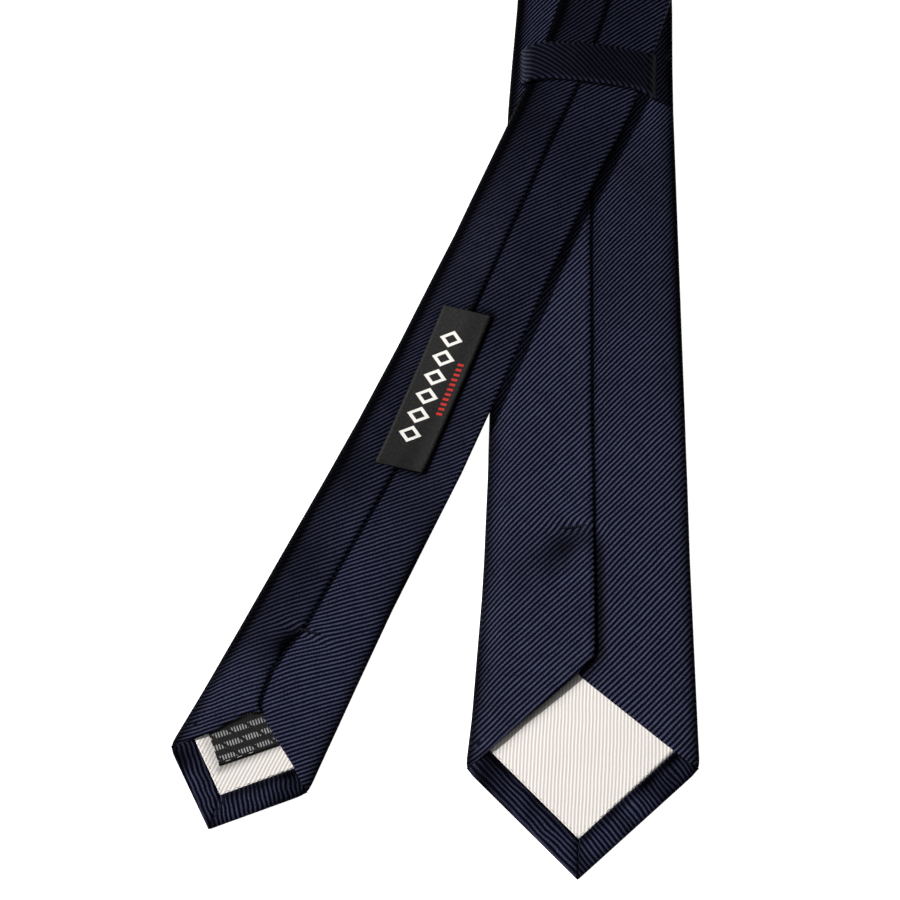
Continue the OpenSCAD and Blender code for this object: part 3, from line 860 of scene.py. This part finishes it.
def keeper():
    """A doubled strip that springs up on the left, bridges the tail and dips on the right."""
    start, end = -21.7, 18.2
    x = start + 39.9 * np.linspace(0, 1, 60)
    upper = np.interp(x, [start, -19.7, -13.7, -0.5, 8.4, end],
                      [248.3, 250.4, 251.2, 251.1, 249.4, 248.0])
    lower = np.interp(x, [start, -20.7, -13.6, -4.7, 4.1, 13.0, 17.0, end],
                      [239.0, 240.4, 241.4, 240.8, 239.9, 238.5, 236.3, 235.0])
    for line in (upper, lower):
        padded = np.concatenate([np.full(3, line[0]), line, np.full(3, line[-1])])
        line[:] = np.convolve(padded, np.ones(7) / 7, "valid")
    foot, crest = 3.1, OVER + THICK + 1.05
    rise = np.minimum(spring((x - start) / 3.2), spring((end - x) / 2.4))
    z = foot + (crest - foot) * rise
    run = np.concatenate([[0], np.cumsum(np.hypot(np.diff(x), np.diff(z)))])
    half_thick = 0.42
    over, turn = np.linspace(0, 1, 12), np.radians([30, 70, 110, 150])
    # once round the doubled strip: over its top, round the lower fold, back under, round again
    profile_w = np.concatenate([over, np.full(4, 1.0), over[::-1], np.full(4, 0.0), [0.0]])
    bulge = np.concatenate([np.zeros(12), np.sin(turn), np.zeros(12), -np.sin(turn), [0]])
    level = np.concatenate([np.full(12, 1.0), np.cos(turn), np.full(12, -1.0), -np.cos(turn),
                            [1.0]])
    y = upper[:, None] + (lower - upper)[:, None] * profile_w - bulge * half_thick
    dx, dz = np.gradient(x), np.gradient(z)
    norm = np.hypot(dx, dz)
    nx, nz = -dz / norm, dx / norm
    sag = 0.25 * np.sin(math.pi * profile_w)[None, :] * (level > 0)
    xx = x[:, None] + nx[:, None] * level * half_thick
    zz = z[:, None] + nz[:, None] * (level * half_thick + sag)
    zz = zz + 0.08 * waves(xx, y, 51, 9)
    steps = np.hypot(np.diff(profile_w) * 10.5, np.diff(level) * 0.4)
    around = np.concatenate([[0], np.cumsum(steps)])
    marks = rib_marks(around[None, :] + 0 * y, run[:, None] + 0 * y,
                      ([0, 12, 25, 45], [-20, -32, -43, -45], [1, 1, 1, 1]))
    x = x[:, None]
    # painted shade over the keeper, deeper towards the right and lighter at its left end, and a
    # painted highlight along its lower fold
    dark = 0.55 + 0.22 * smooth((x + 16) / 18) - 0.35 * smooth((-18.5 - x) / 2)
    dark = dark - (0.4 * (level > -0.5) * np.exp(-((1 - profile_w) / 0.05) ** 2)
                   * smooth((x + 20) / 8))
    place = np.stack([xx, y, zz], -1)
    return thicken(cloth("keeper_silk", [(place, marks, dark)]), 0.36)


def tape(name, length, width, lay, fold=3.0, shade=None):
    """A woven label with its two short ends turned under. lay(x, y) gives points."""
    a, r = np.radians(np.linspace(0, 180, 7))[1:-1], 0.17
    ends_y, ends_z = -length / 2 - r * np.sin(a), r - r * np.cos(a)
    y = np.concatenate([np.linspace(-length / 2 + fold, -length / 2, 7), ends_y,
                        np.linspace(-length / 2, length / 2, 40), -ends_y[::-1],
                        np.linspace(length / 2, length / 2 - fold, 7)])
    z = np.concatenate([np.zeros(7), ends_z, np.full(40, 2 * r), ends_z[::-1], np.zeros(7)])
    t = np.linspace(-0.5, 0.5, 17) * width
    run = np.concatenate([[0], np.cumsum(np.hypot(np.diff(y), np.diff(z)))])
    run = run - run[len(run) // 2]
    xx = t[None, :] + 0 * y[:, None]
    yy = y[:, None] + 0 * xx
    place = lay(xx, yy, z[:, None] + 0 * xx)
    marks = np.stack([xx, run[:, None] + 0 * xx], -1)
    # painted shade from shade(x, y), such as the flap's shadow on the care label
    dark = shade(xx, yy) if shade else 0.0
    return thicken(cloth(name, [(place, marks, dark)], merge=0.01), 0.24)


def label_lay(x, y, z):
    c, s = math.cos(LABEL_TURN), math.sin(LABEL_TURN)
    ly = y + LABEL_SKEW * x
    tx, ty = x * c - ly * s + LABEL_AT[0], x * s + ly * c + LABEL_AT[1]
    step = smooth((tx - np.interp(ty, *TAIL_SEAM) + 0.5) / 6)
    base = 3.5 - 0.55 * step + 0.12 * waves(x, y, 61, 30)
    return on_tail(tx, ty, base + z)


def care_lay(x, y, z):
    """The care label lies askew on the tipping, its upper part under the flaps."""
    px, py = care_place(x + 8, y + 13)
    return on_tail(px, py, 1.62 + 0.5 * z + 0.02 * x)


def care_shade(x, y):
    """Painted shadow on the care label close to the flap that overhangs it."""
    return 0.85 * np.exp(-(gap_to(*care_place(x + 8, y + 13), TAIL_OPENING) / 2.4) ** 2)


def tape_look(name, ground, ground_dark, draw_marks):
    """Label tape: a fine plain weave with marks woven in."""
    mat, tree, shader = node_tree(name)
    uv, x, y = cloth_axes(tree)
    cords = maths(tree, "SINE", maths(tree, "MULTIPLY", x, 2 * math.pi / 0.00042))
    picks = maths(tree, "SINE", maths(tree, "MULTIPLY", y, 2 * math.pi / 0.00036))
    weave = maths(tree, "MULTIPLY_ADD", maths(tree, "MULTIPLY", cords, picks), 0.5, 0.5)
    grain = noise_at(tree, uv, 1500.0, 2.0)
    share = maths(tree, "MULTIPLY_ADD", maths(tree, "SUBTRACT", grain, 0.5), 3.0, 0.35)
    share = clamped(tree, maths(tree, "MULTIPLY_ADD", weave, 0.3, share))
    colour, height = draw_marks(tree, x, y, mix_colour(tree, share, ground_dark, ground), weave)
    # painted shade: the shade attribute darkens the label towards near black
    shade = add(tree, "ShaderNodeAttribute", attribute_name="shade")
    colour = mix_colour(tree, shade.outputs["Fac"], colour, (0.001, 0.001, 0.001, 1.0))
    finish_shader(tree, shader, colour, height, 0.7, 0.00006, 0.6, 0.2)
    return mat


def below(tree, value, limit):
    return maths(tree, "LESS_THAN", value, limit)


def within(tree, value, limit):
    return below(tree, maths(tree, "ABSOLUTE", value), limit)


def dashes(tree, value, pitch, length):
    """1 over the first length of each pitch."""
    return below(tree, maths(tree, "FLOORED_MODULO", value, pitch), length)


def diamond_marks(tree, x, y, colour, weave):
    """A row of pale lozenges and a fine red broken line beside it."""
    pitch = 0.0062
    along = maths(tree, "FLOORED_MODULO", y, pitch)
    along = maths(tree, "ABSOLUTE", maths(tree, "SUBTRACT", along, pitch / 2))
    side = maths(tree, "ABSOLUTE", maths(tree, "ADD", x, 0.0012))
    ring = maths(tree, "ADD", maths(tree, "MULTIPLY", side, 0.76), along)
    outline = maths(tree, "SUBTRACT", below(tree, ring, 0.0027), below(tree, ring, 0.0015))
    pale = maths(tree, "MULTIPLY", outline, within(tree, y, 0.0186))
    colour = mix_colour(tree, pale, colour, linear(235, 232, 226))
    dash = maths(tree, "MULTIPLY", dashes(tree, y, 0.0016, 0.0008),
                 within(tree, maths(tree, "SUBTRACT", x, 0.0046), 0.0009))
    red = maths(tree, "MULTIPLY", dash, within(tree, y, 0.0088))
    colour = mix_colour(tree, red, colour, linear(190, 44, 36))
    raised = maths(tree, "MULTIPLY", maths(tree, "ADD", pale, red), 1.5)
    return colour, maths(tree, "ADD", weave, raised)


def dash_marks(tree, x, y, colour, weave):
    """Rows of short fine strokes in groups."""
    lane = maths(tree, "FLOORED_MODULO", maths(tree, "ADD", x, 0.0006), 0.0036)
    in_lane = within(tree, maths(tree, "SUBTRACT", lane, 0.0018), 0.00085)
    group = dashes(tree, maths(tree, "MULTIPLY_ADD", x, 0.8, y), 0.0057, 0.0045)
    on = maths(tree, "MULTIPLY", maths(tree, "MULTIPLY", in_lane, within(tree, x, 0.0066)),
               maths(tree, "MULTIPLY", dashes(tree, y, 0.00085, 0.0004), group))
    return mix_colour(tree, on, colour, linear(150, 150, 150)), weave


label_tape = tape_look("woven_label_look", linear(32, 31, 30), linear(9, 8, 9), diamond_marks)
care_tape = tape_look("care_label_look", linear(30, 30, 30), linear(9, 9, 9), dash_marks)
keeper_cloth = finish_look(keeper(), keeper_silk, "navy_silk", "keeper_loop")
label = finish_look(tape("woven_label_tape", 51, 14.8, label_lay), label_tape, "label_tape",
                    "woven_label")
care = finish_look(tape("care_label_tape", 26, 16, care_lay, 2.0, care_shade), care_tape,
                   "label_tape", "care_label")


def arch(count):
    """Heights up from 0 to 1 and back, for the points of one stitch."""
    return np.sin(np.linspace(0, math.pi, count))


def stitch_line(place, start, end, count, share, height, bow):
    """Stitches along a straight line of the plan, each a shallow arch. place(x, y, z)."""
    start, end = np.asarray(start, float), np.asarray(end, float)
    lines = []
    for k in range(count):
        t = (k + 0.5 + (np.linspace(-0.5, 0.5, 7)) * share) / count
        xy = start + (end - start) * t[:, None]
        lines.append(place(xy[:, 0], xy[:, 1], height + bow * (arch(7) - 0.6)))
    return lines


def hem_line(half, point, hems, side):
    """Start and end of the seam along one hem's inner edge."""
    slope = point / half
    depth = hems[0] if side < 0 else hems[1]
    far = np.array([side * (half - 7.2 * half / 35), 0.0])
    far[1] = abs(far[0]) * slope + depth * math.hypot(1, slope)
    return np.array(hem_corner(slope, hems)) + [0, 0.3], far + [0, 0.3]


blade_hem = [hem_line(BLADE_W / 2, BLADE_POINT, BLADE_HEMS, s) for s in (-1, 1)]
tail_hem = [hem_line(TAIL_W / 2, TAIL_POINT, TAIL_HEMS, s) for s in (-1, 1)]
front_hem_thread = finish_look(
    threads("front_hem_thread", [w for a, b in blade_hem
                                 for w in stitch_line(on_blade, a, b, 15, 0.5, 1.62, 0.12)], 0.07),
    cream_thread, "cream_thread", "front_tipping_stitches")
tail_hem_thread = finish_look(
    threads("tail_hem_thread", [w for a, b in tail_hem
                                for w in stitch_line(on_tail_end, a, b, 8, 0.5, 1.62, 0.12)], 0.07),
    cream_thread, "cream_thread", "tail_tipping_stitches")


def bar_tack(name, place, centre, length, tilt, height, count=15):
    """A dense bar of thread: wraps across two laid threads."""
    a = math.radians(tilt)
    run, off = np.array([math.cos(a), math.sin(a)]), np.array([-math.sin(a), math.cos(a)])
    lines = []
    for side in (-0.16, 0.16):
        t = np.linspace(-length / 2, length / 2, 12)
        xy = np.asarray(centre) + t[:, None] * run + side * off
        lines.append(place(xy[:, 0], xy[:, 1], height + 0 * t))
    for k in range(count):
        c = np.asarray(centre) + (-length / 2 + length * (k + 0.5) / count) * run
        s = np.linspace(-1, 1, 7)
        xy = c + 0.36 * s[:, None] * off + 0.12 * s[:, None] * run
        lines.append(place(xy[:, 0], xy[:, 1], height - 0.05 + 0.3 * np.sqrt(1 - 0.9 * s ** 2)))
    return threads(name, lines, 0.13)


front_tack = finish_look(bar_tack("front_tack_thread", on_blade, BLADE_TACK, 9.4, 8, 2.7),
                         navy_thread, "navy_thread", "front_bar_tack")
tail_tack = finish_look(bar_tack("tail_tack_thread", on_tail, (-0.9, 66.9), 6.6, 12, 2.7, 11),
                        navy_thread, "navy_thread", "tail_bar_tack")


def slip_run(place, seam, start, end):
    """The long loose stitches inside the back seam."""
    lines = []
    for y0 in np.arange(start, end - 5, 11.0):
        y = np.linspace(y0, y0 + 5, 7)
        x = np.interp(y, *seam) - 2.2
        lines.append(place(x, y, 2.36 + 0.08 * arch(7)))
    return lines


front_slip = finish_look(
    threads("front_slip_thread", slip_run(on_blade, BLADE_SEAM, 136, 370), 0.09),
    navy_thread, "navy_thread", "front_slip_stitch")
tail_slip = finish_look(threads("tail_slip_thread", slip_run(on_tail, TAIL_SEAM, 74.5, 204), 0.09),
                        navy_thread, "navy_thread", "tail_slip_stitch")


def seam_thread(name, u, lay="flat"):
    """The row of lock stitches across the band inside a neck seam."""
    half = half_width(u) - 1.3
    lines = []
    for v in np.arange(-half, half - 1.6, 2.4):
        vv = np.linspace(v, v + 1.7, 5)
        lines.append(band(u + 0 * vv, vv, 0.75 + 0 * vv, lay))
    return threads(name, lines, 0.09)


front_seam_thread = finish_look(seam_thread("front_seam_thread", FRONT_SEAM - 0.5),
                                navy_thread, "navy_thread", "front_neck_seam")
back_seam_thread = finish_look(seam_thread("back_seam_thread", BACK_SEAM + 0.6, "tail"),
                               navy_thread, "navy_thread", "tail_neck_seam")


def upright(x, y0, y1, count):
    lines = []
    for k in range(count):
        y = y0 + (y1 - y0) * (k + 0.5) / count + np.linspace(-0.7, 0.7, 5)
        lines.append(np.stack([x + 0 * y, y, 3.5 + 0.12 * arch(5)], -1))
    return lines


keeper_thread = finish_look(
    threads("keeper_thread", upright(-22.25, 241.5, 248, 3) + upright(18.75, 236, 246, 4), 0.12),
    navy_thread, "navy_thread", "keeper_stitches")

corner_lines = []
for sx in (-1, 1):
    for sy in (-1, 1):
        x = sx * 6.1 + np.linspace(-0.8, 0.8, 5)
        corner_lines.append(label_lay(x, sy * 24.6 + 0 * x, 0.52 + 0.05 * arch(5)))
label_thread = finish_look(threads("label_thread", corner_lines, 0.11), black_thread,
                           "black_thread", "label_stitches")
care_lines = [care_lay(-7.2 + 0 * t, -11 + 3.6 * k + t, 0.55 + 0.1 * arch(5))
              for k in range(3) for t in [np.linspace(0, 1.6, 5)]]
care_thread = finish_look(threads("care_thread", care_lines, 0.08), cream_thread,
                          "cream_thread", "care_label_stitches")

# ---- how the pieces move
for piece in (blade_silk, front_wool, front_tipping, front_tack, front_slip):
    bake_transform(piece)
for piece in (tail_silk, tail_wool, label, label_thread, tail_slip, tail_tack):
    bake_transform(piece)
for piece in (neck_silk, neck_wool):
    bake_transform(piece)
for piece in (keeper_cloth, keeper_thread, front_seam_thread):
    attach(piece, "front_blade")
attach(front_hem_thread, "blade_end")
for piece in (tail_tipping, tail_hem_thread, care, care_thread):
    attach(piece, "tail_end")
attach(back_seam_thread, "tail")

# ---- table, light, camera
table = bpy.data.meshes.new("table")
table.from_pydata([(x, y, -0.0002) for x, y in ((-3, -3), (3, -3), (3, 3), (-3, 3))], [],
                  [(0, 1, 2, 3)])
table = bpy.data.objects.new("table", table)
bpy.context.scene.collection.objects.link(table)
white, tree, shader = node_tree("table_look")
shader.inputs["Base Color"].default_value = (0.95, 0.95, 0.95, 1)
shader.inputs["Emission Color"].default_value = (1, 1, 1, 1)
shader.inputs["Emission Strength"].default_value = 0.9
shader.inputs["Roughness"].default_value = 0.9
shader.inputs["Specular IOR Level"].default_value = 0.0
table.data.materials.append(white)


def lamp(name, kind, place, aim, watts, **values):
    light = bpy.data.lights.new(name, kind)
    light.energy = watts
    for key, value in values.items():
        setattr(light, key, value)
    thing = bpy.data.objects.new(name, light)
    thing.location = place
    direction = Vector(aim) - Vector(place)
    thing.rotation_euler = direction.to_track_quat("-Z", "Y").to_euler()
    bpy.context.scene.collection.objects.link(thing)


lamp("key", "SPOT", (-1.15, 0.3, 1.0), (0.05, -0.33, 0), 140.0, spot_size=math.radians(25),
     spot_blend=1.0, shadow_soft_size=0.07)
lamp("fill", "AREA", (0.15, -0.35, 1.25), (0, -0.25, 0), 2.6, size=0.5)
world = bpy.data.worlds.new("studio")
world.use_nodes = True
world.node_tree.nodes["Background"].inputs[0].default_value = (1, 1, 1, 1)
world.node_tree.nodes["Background"].inputs[1].default_value = 0.06
bpy.context.scene.world = world

lens = bpy.data.cameras.new("camera")
lens.sensor_width = 36
camera_height, width_seen = 1.3, 0.2715
lens.lens = 36 * camera_height / width_seen
lens.clip_start, lens.clip_end = 0.05, 20
camera = bpy.data.objects.new("camera", lens)
camera.location = (-0.0387, -0.2180, camera_height)
camera.rotation_euler = (0, 0, math.radians(0.96))
bpy.context.scene.collection.objects.link(camera)
bpy.context.scene.camera = camera
view = bpy.context.scene.view_settings
view.view_transform = "Standard"
view.look = "None"
